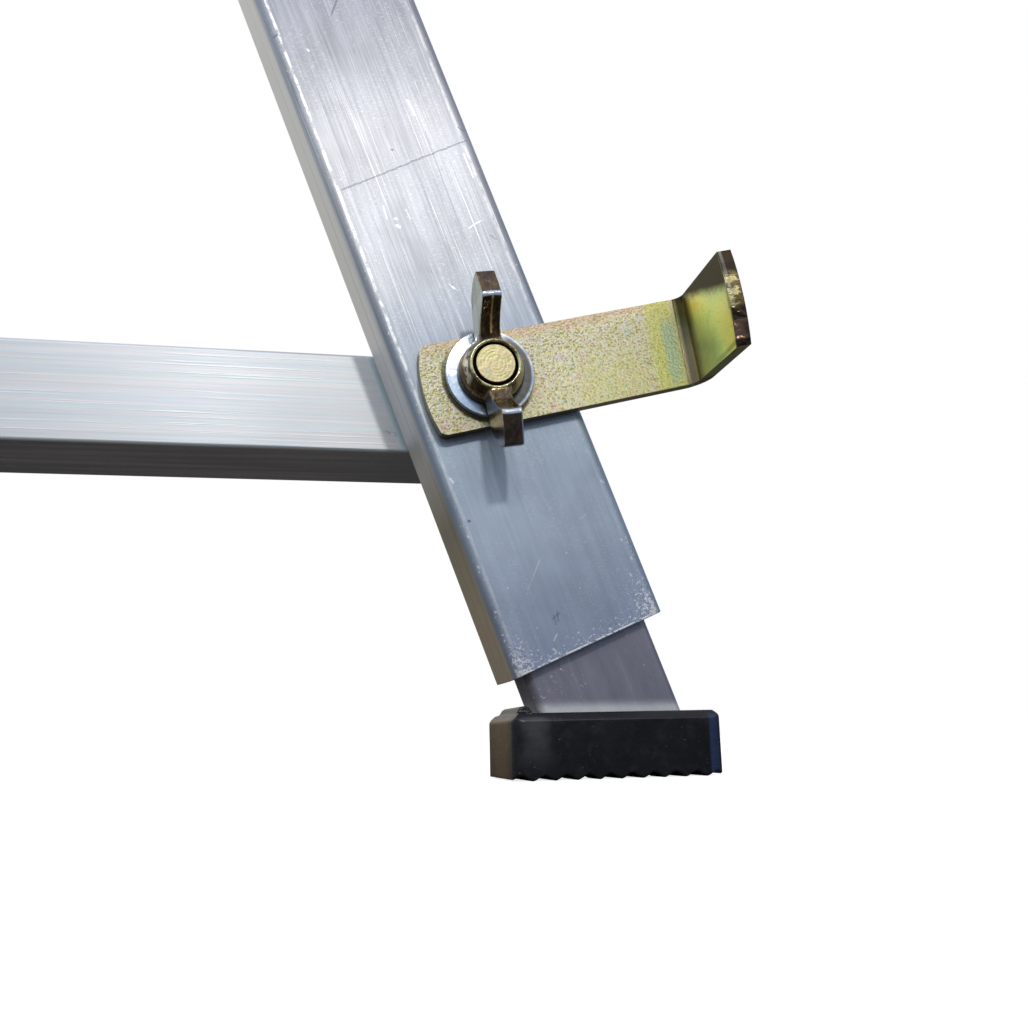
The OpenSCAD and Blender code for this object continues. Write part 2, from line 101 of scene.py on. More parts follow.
# ---------------------------------------------------------------- node helpers
class Mat:
    """A small wrapper that makes a node tree easier to write."""

    def __init__(self, name):
        self.m = bpy.data.materials.new(name)
        self.m.use_nodes = True
        self.t = self.m.node_tree
        self.b = self.t.nodes["Principled BSDF"]

    def put(self, socket, v):
        if isinstance(v, bpy.types.NodeSocket):
            self.t.links.new(v, socket)
        elif isinstance(v, tuple) and socket.type == "RGBA":
            socket.default_value = (*v, 1)
        else:
            socket.default_value = v

    def set(self, name, v):
        self.put(self.b.inputs[name], v)

    def math(self, op, a, b=None, c=None, clamp=False):
        n = self.t.nodes.new("ShaderNodeMath")
        n.operation = op
        n.use_clamp = clamp
        for i, v in enumerate((a, b, c)):
            if v is not None:
                self.put(n.inputs[i], v)
        return n.outputs[0]

    def add(self, a, b):
        return self.math("ADD", a, b)

    def sub(self, a, b):
        return self.math("SUBTRACT", a, b)

    def mul(self, a, b):
        return self.math("MULTIPLY", a, b)

    def inv(self, a):
        return self.math("SUBTRACT", 1.0, a, clamp=True)

    def scaled(self, v, by, plus):
        """v * by + plus."""
        return self.math("MULTIPLY_ADD", v, by, plus)

    def most(self, a, b):
        return self.math("MAXIMUM", a, b)

    def abs(self, v):
        return self.math("ABSOLUTE", v)

    def radius(self, u, v):
        return self.math("SQRT", self.add(self.mul(u, u), self.mul(v, v)))

    def vmath(self, op, a, b=None):
        n = self.t.nodes.new("ShaderNodeVectorMath")
        n.operation = op
        self.put(n.inputs[0], a)
        if b is not None:
            self.put(n.inputs[1], b)
        return n.outputs[0]

    def place(self):
        """Millimetres from the right-hand clamp bolt."""
        c = self.t.nodes.new("ShaderNodeTexCoord").outputs["Object"]
        p = self.vmath("SUBTRACT", c, (BOLT_X, LEG_Y, BOLT_Z))
        return self.vmath("MULTIPLY", p, (1 / MM, 1 / MM, 1 / MM))

    def facing(self):
        """The surface's direction in the row frame, before any pose."""
        return self.split(self.t.nodes.new("ShaderNodeTexCoord").outputs["Normal"])

    def split(self, v):
        n = self.t.nodes.new("ShaderNodeSeparateXYZ")
        self.put(n.inputs[0], v)
        return n.outputs

    def join(self, x, y, z):
        n = self.t.nodes.new("ShaderNodeCombineXYZ")
        for i, v in enumerate((x, y, z)):
            self.put(n.inputs[i], v)
        return n.outputs[0]

    def noise(self, v, scale=1.0, detail=2.0, rough=0.5):
        n = self.t.nodes.new("ShaderNodeTexNoise")
        self.put(n.inputs["Vector"], v)
        n.inputs["Scale"].default_value = scale
        n.inputs["Detail"].default_value = detail
        n.inputs["Roughness"].default_value = rough
        return n.outputs["Fac"]

    def stretched(self, at, scales, detail=2.0, rough=0.5, shift=0.0):
        """Noise at (across, depth, along), with its own scale on each."""
        parts = [self.scaled(a, s, shift) for a, s in zip(at, scales)]
        return self.noise(self.join(*parts), 1, detail, rough)

    def ramp(self, v, *stops):
        """The colours of (position, colour) stops, blended in between."""
        n = self.t.nodes.new("ShaderNodeValToRGB")
        e = n.color_ramp.elements
        while len(e) < len(stops):
            e.new(0.5)
        for el, (pos, col) in zip(e, stops):
            el.position = pos
            el.color = (*col, 1)
        self.put(n.inputs[0], v)
        return n.outputs[0]

    def step(self, v, a, b):
        """0 at a, 1 at b, smooth between."""
        n = self.t.nodes.new("ShaderNodeMapRange")
        n.interpolation_type = "SMOOTHSTEP"
        self.put(n.inputs[0], v)
        n.inputs[1].default_value = a
        n.inputs[2].default_value = b
        return n.outputs[0]

    def band(self, v, centre, half, soft):
        """1 within half of centre, 0 beyond half + soft."""
        return self.step(self.abs(self.sub(v, centre)), half + soft, half)

    def mix(self, f, a, b, mode="MIX"):
        n = self.t.nodes.new("ShaderNodeMix")
        n.data_type = "RGBA"
        n.blend_type = mode
        self.put(n.inputs[0], f)
        for s, v in ((n.inputs[6], a), (n.inputs[7], b)):
            self.put(s, v)
        return n.outputs[2]

    def bump(self, height, strength, distance):
        n = self.t.nodes.new("ShaderNodeBump")
        n.inputs["Strength"].default_value = strength
        n.inputs["Distance"].default_value = distance
        self.put(n.inputs["Height"], height)
        return n.outputs[0]

    def line(self, u, v, a, b, half, soft=0.15):
        """1 on the straight mark from a to b in the (u, v) plane."""
        dx, dy = b[0] - a[0], b[1] - a[1]
        size = dx * dx + dy * dy
        pu, pv = self.sub(u, a[0]), self.sub(v, a[1])
        t = self.math("DIVIDE", self.add(self.mul(pu, dx), self.mul(pv, dy)), size, clamp=True)
        du, dv = self.sub(pu, self.mul(t, dx)), self.sub(pv, self.mul(t, dy))
        return self.step(self.radius(du, dv), half + soft, half)

    def brushed(self, direction, amount):
        """Anisotropy that spreads the light across a brushing direction given in the row frame."""
        geo = self.t.nodes.new("ShaderNodeNewGeometry").outputs["Normal"]
        n = self.t.nodes.new("ShaderNodeVectorTransform")
        n.vector_type = "VECTOR"
        n.convert_from, n.convert_to = "OBJECT", "WORLD"
        n.inputs[0].default_value = direction
        self.set("Tangent", self.vmath("NORMALIZE", self.vmath("CROSS_PRODUCT", geo, n.outputs[0])))
        self.b.inputs["Anisotropic"].default_value = amount


def along(m, p, side, angle):
    """(across, depth, along) for a bar that leans by angle from Z, on that side of the part."""
    x, y, z = m.split(p)
    if side < 0:
        x = m.sub(m.mul(x, -1.0), 2 * BOLT_X / MM)
    c, s = math.cos(angle), math.sin(angle)
    u = m.add(m.mul(x, c), m.mul(z, s))
    v = m.sub(m.mul(z, c), m.mul(x, s))
    return u, y, v


# ---------------------------------------------------------------- aluminium
# The saw cut across a leg's lower end: its slope, and its place along the leg in millimetres from the bolt
CUT_SLOPE, CUT_AT = 0.0577, -66.4

# Knocks and scratches on the right leg's front: from, to, half width, strength.
# Places are (across, up) along the leg in millimetres from the bolt.
LIGHT_MARKS = (
    ((-3.8, -44.2), (-6.4, -47.0), 0.04, 0.45), ((-6.4, -47.0), (-9.0, -49.7), 0.02, 0.25),
    ((2.8, -44.6), (2.9, -44.8), 0.12, 0.40), ((-6.2, -61.3), (-7.6, -62.6), 0.05, 0.85),
    ((-8.4, -64.3), (-8.0, -65.1), 0.12, 0.9), ((9.0, -38.4), (10.9, -37.8), 0.03, 0.30),
    ((-16.7, -19.6), (-16.4, -20.6), 0.18, 0.8), ((-17.6, -33.4), (-17.5, -33.8), 0.14, 0.9),
    ((-17.9, -40.7), (-17.8, -41.1), 0.16, 0.9), ((-13.2, -47.6), (-13.1, -47.7), 0.10, 0.6),
    ((17.2, -51.0), (17.3, -51.5), 0.16, 0.85), ((15.5, -54.5), (15.6, -55.0), 0.16, 0.8),
    ((16.6, -46.1), (16.7, -46.4), 0.18, 0.6), ((17.5, -31.3), (17.6, -31.6), 0.16, 0.5),
    ((-11.5, 93.1), (-11.4, 92.8), 0.20, 0.5), ((-6.5, 45.0), (-6.2, 44.9), 0.20, 0.8),
    ((-6.5, 43.2), (-6.2, 42.9), 0.32, 0.95), ((10.2, 38.0), (13.6, 39.0), 0.06, 0.45),
    ((0.8, 24.7), (1.1, 24.3), 0.10, 0.7), ((0.2, 25.6), (1.4, 23.6), 0.03, 0.4),
    ((7.6, 74.4), (7.8, 70.1), 0.10, 0.8), ((16.0, 57.0), (16.1, 50.5), 0.08, 0.7),
    ((-8.0, 49.0), (-8.3, 45.5), 0.08, 0.4), ((-3.1, 46.5), (-2.8, 44.0), 0.06, 0.3),
)
DARK_MARKS = (
    ((-2.4, 101.5), (0.1, 104.8), 0.10, 0.8), ((-2.9, 100.8), (-2.4, 101.5), 0.05, 0.5),
    ((0.2, 93.4), (-0.2, 92.4), 0.16, 0.18), ((-0.4, 91.0), (-0.7, 89.8), 0.14, 0.15),
    ((-0.8, 62.6), (-0.7, 62.5), 0.20, 0.8), ((17.3, 64.2), (18.4, 62.9), 0.10, 0.6),
    ((14.6, 34.6), (15.7, 33.4), 0.08, 0.5), ((-4.0, -57.2), (-5.9, -57.9), 0.08, 0.45),
    ((-4.3, -56.6), (-5.0, -58.9), 0.08, 0.45), ((-5.4, -57.0), (-5.7, -59.3), 0.06, 0.4),
    ((-16.1, -30.2), (-16.0, -30.4), 0.20, 0.8), ((8.8, 65.0), (8.1, 35.3), 0.03, 0.35),
    ((-18.4, 98.4), (-17.2, 98.9), 0.14, 0.7),
)


def die_lines(m, at, shift):
    """Fine streaks along an extruded bar: (soft bands, thin bright lines, thin dark lines, cloud)."""
    bands = m.stretched(at, (0.55, 0.55, 0.006), 3, 0.65, shift)
    thin = m.stretched(at, (2.6, 2.6, 0.022), 2, 0.6, shift + 7)
    long = m.stretched(at, (1.5, 1.5, 0.009), 2, 0.5, shift + 13)
    where = m.stretched(at, (0.12, 0.12, 0.035), 3, 0.6, shift + 29)
    bright = m.mul(m.step(thin, 0.56, 0.72), m.step(where, 0.42, 0.62))
    bright = m.most(bright, m.mul(m.step(long, 0.63, 0.70), m.step(where, 0.35, 0.55)))
    dark = m.mul(m.step(thin, 0.42, 0.28), m.step(where, 0.62, 0.42))
    return bands, bright, dark, where


def leg_metal(side):
    m = Mat(("right" if side > 0 else "left") + "_leg_aluminium")
    shift = 0.0 if side > 0 else 51.0
    u, y, v = at = along(m, m.place(), side, LEAN)
    bands, bright, dark, _ = die_lines(m, at, shift)
    front = m.step(y, 0.6, 0.2)

    tone = m.scaled(bands, 0.20, 0.76)
    hair = m.stretched(at, (1.6, 1.6, 0.035), 3, 0.75, shift + 61)
    streaky = m.scaled(m.step(v, -20, 20), 0.8, 0.2)
    tone = m.add(tone, m.mul(m.scaled(hair, 0.9, -0.45), streaky))
    smear = m.noise(m.join(m.mul(u, 0.055), m.mul(y, 0.055), m.mul(v, 0.045)), 1.0, 3, 0.6)
    tone = m.add(tone, m.scaled(smear, 0.60, -0.25))
    # painted light: the leg's colour is graded along its length, bluer and lighter low down and darker near
    # the top, following how the light falls on it
    col = m.ramp(m.scaled(v, 0.004, 0.30),
                 (0.04, (0.54, 0.62, 0.80)), (0.14, (0.57, 0.66, 0.79)), (0.26, (0.46, 0.55, 0.66)),
                 (0.34, (0.41, 0.46, 0.54)), (0.42, (0.46, 0.475, 0.51)), (0.58, (0.50, 0.51, 0.54)),
                 (0.66, (0.40, 0.415, 0.45)), (0.78, (0.36, 0.37, 0.44)))
    col = m.mix(1.0, col, m.join(tone, tone, tone), "MULTIPLY")

    # painted highlight: the bright die lines are lightened more high up the leg, where the light falls
    lit = m.step(v, -25, 45)
    col = m.mix(m.mul(bright, m.scaled(lit, 0.55, 0.12)), col, (0.97, 0.97, 0.95))
    col = m.mix(m.mul(dark, 0.22), col, (0.42, 0.45, 0.52))

    # fine grain across the bar, in patches
    grain = m.stretched(at, (0.8, 0.8, 3.0), 3, 0.75, shift + 3)
    patch = m.mul(m.step(m.stretched(at, (0.07, 0.07, 0.05), 2, 0.5, shift + 41), 0.34, 0.54), front)
    col = m.mix(m.mul(m.mul(m.step(grain, 0.52, 0.70), patch), 0.35), col, (0.98, 0.98, 0.98))
    col = m.mix(m.mul(m.mul(m.step(grain, 0.46, 0.32), patch), 0.25), col, (0.50, 0.52, 0.60))

    # worn lines just inside both corners, lightened more up the leg and on the left: partly wear, partly
    # painted highlight
    wobble = m.scaled(m.stretched(at, (0.2, 0.2, 0.10), 3, 0.7, shift + 5), 1.0, -0.5)
    edge = m.add(m.abs(u), wobble)
    broken = m.step(m.stretched(at, (0.3, 0.3, 0.16), 4, 0.75, shift + 17), 0.40, 0.56)
    worn = m.mul(m.mul(m.band(edge, 17.1, 0.22, 0.25), broken), front)
    worn = m.mul(worn, m.scaled(m.step(u, 1, -1), 0.55, 0.40))
    col = m.mix(m.mul(worn, m.scaled(lit, 0.50, 0.35)), col, (1.0, 1.0, 0.98))
    # painted reflection: the rounded corners are darkened and blued as if they reflect the dark sides
    painted_corner_reflection = m.step(m.abs(u), 17.6, 18.6)
    col = m.mix(m.mul(painted_corner_reflection, 0.30), col, (0.24, 0.30, 0.40))

    # the flank towards the middle: pale above, olive-brown below, a painted reflection of its surroundings
    flank = m.ramp(m.scaled(v, 0.005, 0.40),
                   (0.06, (1.0, 0.85, 0.62)), (0.14, (0.95, 0.80, 0.58)), (0.25, (0.58, 0.52, 0.42)),
                   (0.36, (0.95, 0.95, 0.94)), (0.60, (0.84, 0.82, 0.78)), (0.90, (0.72, 0.70, 0.66)))
    flank = m.mix(m.mul(m.step(bands, 0.52, 0.66), 0.30), flank, (0.30, 0.28, 0.25))
    col = m.mix(m.mul(m.step(u, -18.6, -19.8), m.step(y, 0.4, 1.6)), col, flank)

    # white scuffs and burrs, thick at the lower corners and along the saw cut
    cut = m.sub(m.scaled(u, -CUT_SLOPE, v), CUT_AT)
    near_cut = m.step(cut, 6.5, 0.0)
    low = m.step(v, -40, -66)
    corner = m.mul(m.step(m.abs(u), 8, 19.5), m.step(cut, 15, 1))
    rim = m.mul(m.step(m.abs(u), 14.5, 18.5), m.scaled(low, 0.35, 0.18))
    heavy = m.most(m.mul(near_cut, 0.50), m.most(corner, rim))
    speck = m.noise(m.join(u, y, v), 1.15, 4, 0.72)
    speck = m.add(speck, m.mul(heavy, 0.20))
    scuff = m.mul(m.step(speck, 0.66, 0.70), front)
    chipped = m.step(m.stretched(at, (0.45, 0.45, 0.1), 3, 0.7, shift + 77), 0.42, 0.52)
    burr = m.mul(m.band(cut, 0.25, 0.10, 0.15), chipped)
    scuff = m.most(scuff, m.mul(m.mul(burr, 0.8), front))
    fleck = m.noise(m.join(m.add(u, 31.0), y, v), 1.3, 3, 0.7)
    pits = m.mul(m.mul(m.step(fleck, 0.60, 0.66), m.step(heavy, 0.15, 0.6)), front)
    col = m.mix(m.mul(pits, 0.6), col, (0.10, 0.11, 0.15))
    col = m.mix(scuff, col, (0.98, 0.98, 0.97))

    marks = scuff
    score = None
    if side > 0:
        wave = m.scaled(m.noise(m.join(u, y, v), 0.5, 3), 0.9, -0.45)
        vw, uw = m.add(v, wave), m.add(u, m.mul(wave, 0.6))
        score = m.mul(m.line(u, vw, (-16.1, 55.5), (18.4, 60.4), 0.05, 0.16), front)
        thin = m.step(m.stretched(at, (0.6, 0.6, 0.6), 3, 0.7, 2), 0.30, 0.50)
        col = m.mix(m.mul(score, m.scaled(thin, 0.36, 0.06)), col, (0.22, 0.23, 0.27))
        for a, b, half, how in LIGHT_MARKS:
            mark = m.mul(m.line(uw, vw, a, b, half, 0.2), front)
            col = m.mix(m.mul(mark, how), col, (1.0, 1.0, 1.0))
        for a, b, half, how in DARK_MARKS:
            mark = m.mul(m.line(uw, vw, a, b, half, 0.2), front)
            col = m.mix(m.mul(mark, how), col, (0.16, 0.17, 0.22))

    m.set("Base Color", col)
    m.b.inputs["Metallic"].default_value = 0.82
    rough = m.scaled(bands, 0.16, 0.40)
    rough = m.add(rough, m.mul(marks, 0.15))
    m.set("Roughness", rough)
    h = m.add(m.mul(bands, 0.55), m.mul(bright, 0.35))
    h = m.add(h, m.mul(grain, 0.18))
    h = m.add(h, m.mul(marks, 1.3))
    if score is not None:
        h = m.sub(h, m.mul(score, 0.7))
    m.set("Normal", m.bump(h, 0.30, 0.00012))
    m.brushed((-math.sin(LEAN) * side, 0, math.cos(LEAN)), 0.55)
    return m.m


def bar_metal():
    m = Mat("crossbar_aluminium")
    z, y, x = at = along(m, m.place(), 1, FLAT)
    bands, bright, dark, cloud = die_lines(m, at, 101.0)
    front = m.step(y, 20.8, 20.3)
    tone = m.add(m.scaled(bands, 0.34, 0.74), m.mul(cloud, 0.06))
    # painted light: the front is darker close to the right leg and lighter from about 40 to 68 mm out
    painted_light_falloff = m.scaled(m.step(x, 40.0, 68.0), 0.15, 0.78)
    tone = m.mul(tone, painted_light_falloff)
    col = m.mix(1.0, m.join(tone, tone, tone), (0.91, 0.96, 0.97), "MULTIPLY")
    # painted light: a pale blue tint in the leg's shadow on the bar's front
    painted_shadow_tint = m.step(along(m, m.place(), 1, LEAN)[0], -21.8, -20.2)
    lines = m.stretched(at, (0.85, 0.85, 0.004), 3, 0.7, 131)
    pastel = m.ramp(lines, (0.30, (0.80, 0.97, 0.95)), (0.42, (0.99, 0.97, 0.99)), (0.50, (1.0, 0.90, 0.93)),
                    (0.56, (0.88, 0.92, 1.0)), (0.64, (0.86, 0.98, 0.95)), (0.74, (1.0, 0.97, 0.88)))
    col = m.mix(0.75, col, pastel, "MULTIPLY")
    col = m.mix(m.mul(bright, 0.55), col, (1, 1, 1))
    col = m.mix(m.mul(dark, 0.40), col, (0.55, 0.61, 0.68))
    col = m.mix(m.mul(m.mul(painted_shadow_tint, front), 0.8), col, (0.80, 0.96, 1.0))
    smudge = m.mul(m.line(x, z, (19.2, -7.9), (22.0, -7.4), 0.15, 0.6), front)
    ragged = m.step(m.noise(m.join(x, y, z), 1.2, 4, 0.7), 0.42, 0.55)
    col = m.mix(m.mul(m.mul(smudge, ragged), 0.7), col, (0.25, 0.28, 0.33))
    # painted light: the underside's colour is raised to pale grey, and to white in patches between 5 and 45
    # mm out
    under = m.step(m.facing()[2], -0.5, -0.9)
    painted_underside_light = m.mul(m.step(m.noise(m.join(m.mul(x, 0.04), y, 0.0), 0.3, 3), 0.35, 0.65), m.step(x, 5.0, 45.0))
    col = m.mix(under, col, m.mix(m.mul(under, painted_underside_light), (0.72, 0.72, 0.74), (1.0, 1.0, 1.0)))
    m.set("Base Color", col)
    m.b.inputs["Metallic"].default_value = 0.55
    m.set("Roughness", m.scaled(bands, 0.18, 0.38))
    h = m.add(m.mul(bands, 0.7), m.mul(bright, 0.4))
    m.set("Normal", m.bump(h, 0.35, 0.00015))
    m.brushed((1, 0, 0), 0.25)
    return m.m


def inner_metal(side):
    m = Mat(("right" if side > 0 else "left") + "_inner_aluminium")
    shift = 211.0 if side > 0 else 251.0
    u, y, v = at = along(m, m.place(), side, LEAN)
    bands, bright, dark, cloud = die_lines(m, at, shift)
    tone = m.scaled(bands, 0.16, 0.79)
    mottle = m.noise(m.join(u, y, m.mul(v, 0.6)), 0.35, 4, 0.7)
    tone = m.add(tone, m.scaled(mottle, 0.30, -0.15))
    col = m.mix(1.0, m.join(tone, tone, tone), (0.43, 0.42, 0.50), "MULTIPLY")
    col = m.mix(m.mul(m.step(cloud, 0.45, 0.65), 0.25), col, (0.50, 0.47, 0.56))
    col = m.mix(m.mul(bright, 0.10), col, (0.85, 0.85, 0.92))
    col = m.mix(m.mul(dark, 0.20), col, (0.30, 0.28, 0.34))
    # painted highlight: a pale band low on the inner tube, just above the foot
    height = m.add(m.split(m.place())[2], BOLT_Z / MM)
    waver = m.scaled(m.noise(m.join(m.mul(u, 0.2), 0.0, 0.0), 1, 3, 0.6), 1.6, -0.8)
    low = m.step(m.add(height, m.mul(waver, 0.5)), 18.0, 15.3)
    col = m.mix(m.mul(low, m.scaled(low, 0.5, 0.5)), col, (1.0, 0.99, 1.0))
    speck = m.noise(m.join(u, y, v), 1.15, 4, 0.74)
    speck = m.add(speck, m.mul(m.step(u, 6, -15), 0.055))
    scuff = m.step(speck, 0.685, 0.72)
    col = m.mix(m.mul(scuff, 0.9), col, (0.95, 0.95, 0.98))
    m.set("Base Color", col)
    m.b.inputs["Metallic"].default_value = 0.8
    m.set("Roughness", m.scaled(bands, 0.2, 0.34))
    h = m.add(m.mul(bands, 0.5), m.mul(scuff, 1.2))
    m.set("Normal", m.bump(h, 0.35, 0.00012))
    m.brushed((-math.sin(LEAN) * side, 0, math.cos(LEAN)), 0.4)
    return m.m


# ---------------------------------------------------------------- plated steel
# Where the plate's bend crosses its long axis, in millimetres from the bolt, and how far out it moves for
# each millimetre up
BEND, BEND_LEAN = 49.3, 0.103


def plate_metal(side):
    """Yellow chromate over grainy steel, smooth and olive on the tab."""
    m = Mat(("right" if side > 0 else "left") + "_plate_yellow")
    shift = 0.0 if side > 0 else 61.0
    p = m.place()
    u, y, v = at = along(m, p, side, PLATE)
    flat = m.step(y, -7.2, -4.6)
    slant = m.scaled(v, -BEND_LEAN, u)
    flat = m.mul(flat, m.step(slant, BEND, BEND - 0.15))
    face = m.mul(m.step(y, -3.2, -3.5), flat)
    rim = m.mul(m.step(y, -3.5, -3.1), m.step(slant, BEND + 0.1, BEND - 0.2))
    tab = m.inv(flat)
    end = m.step(m.sub(y, m.mul(m.mul(v, v), 0.01)), -28.15, -28.45)

    worm = m.stretched(at, (1.6, 1.6, 2.0), 3, 0.6, shift)
    fine = m.stretched(at, (2.4, 2.4, 2.8), 2, 0.6, shift + 9)
    tint = m.stretched(at, (0.34, 0.34, 0.42), 4, 0.65, shift + 23)
    blot = m.stretched(at, (0.10, 0.10, 0.14), 3, 0.6, shift + 31)
    col = m.ramp(tint, (0.30, (0.62, 0.74, 0.64)), (0.40, (0.86, 0.86, 0.40)), (0.48, (1.0, 0.88, 0.40)),
                 (0.55, (1.0, 0.92, 0.58)), (0.62, (1.0, 0.76, 0.52)), (0.70, (0.84, 0.80, 0.80)))
    sand = m.add(m.mul(worm, 0.8), m.mul(fine, 0.2))
    col = m.mix(m.mul(m.step(sand, 0.48, 0.54), 0.85), col, (1.0, 1.0, 0.86))
    col = m.mix(m.mul(m.step(sand, 0.46, 0.40), 0.68), col, (0.44, 0.32, 0.10))
    warm = m.mul(m.step(tint, 0.52, 0.62), m.step(m.add(v, m.mul(blot, 6.0)), 1.0, -4.0))
    col = m.mix(m.mul(warm, 0.30), col, (1.0, 0.66, 0.46))
    # painted shadow: a dark ring round the washer, stronger to the lower left where its shadow falls
    r = m.radius(u, v)
    ring = m.band(m.add(r, m.mul(worm, 0.8)), 11.1, 0.35, 0.5)
    ring = m.mul(ring, m.scaled(m.step(m.add(u, v), 6.0, -9.0), 0.70, 0.15))
    col = m.mix(ring, col, (0.14, 0.11, 0.05))

    pink = m.step(m.scaled(blot, 5.0, v), 9.2, 12.4)
    col = m.mix(m.mul(pink, 0.50), col, (1.0, 0.66, 0.44))
    brass = m.mul(m.step(m.scaled(blot, 4.0, u), -13.0, -17.0), m.step(tint, 0.60, 0.48))
    col = m.mix(m.mul(brass, 0.45), col, (1.0, 0.84, 0.22))
    yellow = m.mul(m.band(u, 30, 5, 8), m.step(v, 5, -7))
    col = m.mix(m.mul(yellow, 0.35), col, (0.86, 0.84, 0.28))
    # the green and teal just before the bend are partly the plating's tint and partly a painted reflection
    # of the tab
    green = m.band(m.scaled(blot, 4.0, slant), BEND - 1.9, 2.4, 3.0)
    col = m.mix(m.mul(green, 0.70), col, (0.95, 0.97, 0.26))
    teal = m.mul(m.band(slant, BEND - 2.7, 0.9, 1.6), m.band(m.scaled(tint, 6.0, v), 0.5, 5.5, 4.0))
    col = m.mix(m.mul(teal, 0.75), col, (0.68, 0.88, 0.66))
    col = m.mix(m.mul(m.mul(m.step(worm, 0.50, 0.36), 0.30), green), col, (0.40, 0.42, 0.10))
    # painted highlight: a pale line along the start of the bend
    bend_highlight = m.band(slant, BEND - 0.3, 0.12, 0.2)
    col = m.mix(m.mul(bend_highlight, 0.45), col, (1.0, 0.96, 0.82))

    out = m.scaled(y, -1.0, -4.0)
    soft = m.add(m.mul(blot, 0.45), m.scaled(tint, 0.15, 0.16))
    soft = m.add(soft, m.mul(m.mul(m.step(v, -1.0, 7.0), m.step(out, 19.0, 8.0)), 0.18))
    smooth = m.ramp(soft, (0.38, (0.64, 0.86, 0.36)), (0.48, (0.86, 1.0, 0.42)), (0.60, (1.0, 0.98, 0.32)),
                    (0.72, (1.0, 0.82, 0.22)))
    gold = m.mul(m.step(out, 15.0, 23.0), m.step(v, 6.0, -8.0))
    smooth = m.mix(m.mul(gold, 0.6), smooth, (0.86, 0.70, 0.14))
    smooth = m.mix(m.mul(m.step(fine, 0.54, 0.66), 0.30), smooth, (0.95, 0.92, 0.50))
    smooth = m.mix(m.mul(m.step(fine, 0.44, 0.34), 0.35), smooth, (0.30, 0.28, 0.10))
    edge = m.scaled(tint, 3.0, out)
    smooth = m.mix(m.mul(m.step(edge, 24.6, 25.6), 0.55), smooth, (0.20, 0.15, 0.04))
    shade = m.add(m.add(v, m.mul(out, 0.32)), m.scaled(tint, 2.0, -1.0))
    smooth = m.mix(m.step(shade, 8.2, 11.4), smooth, (0.052, 0.040, 0.006))
    # painted shade: the bend's hollow is darkened, darkest at the top and brownish lower down
    hollow_shade = m.step(m.scaled(blot, 3.0, out), 8.0, 2.2)
    lower = m.step(m.scaled(blot, 5.0, v), 9.0, -3.0)
    hollow_shade_colour = m.mix(lower, (0.030, 0.028, 0.012), (0.25, 0.19, 0.135))
    smooth = m.mix(m.mul(hollow_shade, 0.95), smooth, hollow_shade_colour)
    col = m.mix(tab, col, smooth)
    patches = m.stretched(at, (0.30, 0.30, 0.55), 3, 0.7, shift + 47)
    inner = m.sub(slant, BEND + 2.1)
    rust = m.step(m.scaled(inner, 0.045, patches), 0.50, 0.60)
    # painted highlight: the tab's end face is lit across its middle and dark above and below, with rust
    # patches on it
    lit_end_face = m.ramp(m.scaled(v, 0.036, 0.5),
                   (0.04, (0.09, 0.06, 0.055)), (0.34, (0.12, 0.08, 0.07)), (0.44, (0.50, 0.42, 0.16)),
                   (0.56, (0.85, 0.74, 0.36)), (0.64, (0.62, 0.54, 0.24)), (0.72, (0.12, 0.09, 0.03)),
                   (0.96, (0.04, 0.03, 0.012)))
    lit_end_face = m.mix(m.mul(rust, 0.85), lit_end_face, (0.09, 0.06, 0.03))
    # painted highlight: a pale line along the sheared edge of the end face
    sheared_edge_highlight = m.mul(m.band(inner, 0.75, 0.22, 0.3), m.step(v, -6.0, 1.0))
    lit_end_face = m.mix(m.mul(sheared_edge_highlight, 0.45), lit_end_face, (0.62, 0.58, 0.46))
    col = m.mix(end, col, lit_end_face)
    # painted shade: the plate's edge faces and its downward face are darkened
    col = m.mix(m.mul(rim, 0.80), col, (0.13, 0.11, 0.04))
    under = m.mul(m.step(m.facing()[2], -0.35, -0.75), m.step(y, -4.0, -5.0))
    col = m.mix(m.mul(under, 0.6), col, (0.16, 0.12, 0.04))
    m.set("Base Color", col)

    m.set("Metallic", m.scaled(m.most(tab, rim), 0.21, 0.76))
    rough = m.scaled(face, 0.17, 0.28)
    rough = m.sub(rough, m.mul(end, 0.14))
    rough = m.add(rough, m.mul(fine, 0.08))
    m.set("Roughness", rough)
    rough_h = m.add(m.mul(worm, 1.1), m.mul(fine, 0.45))
    h = m.mul(rough_h, m.scaled(flat, 0.93, 0.07))
    h = m.add(h, m.mul(m.mul(end, patches), 0.7))
    m.set("Normal", m.bump(h, 1.0, 0.00036))
    m.brushed((-math.sin(PLATE) * side, 0, math.cos(PLATE)), 0.42)
    return m.m


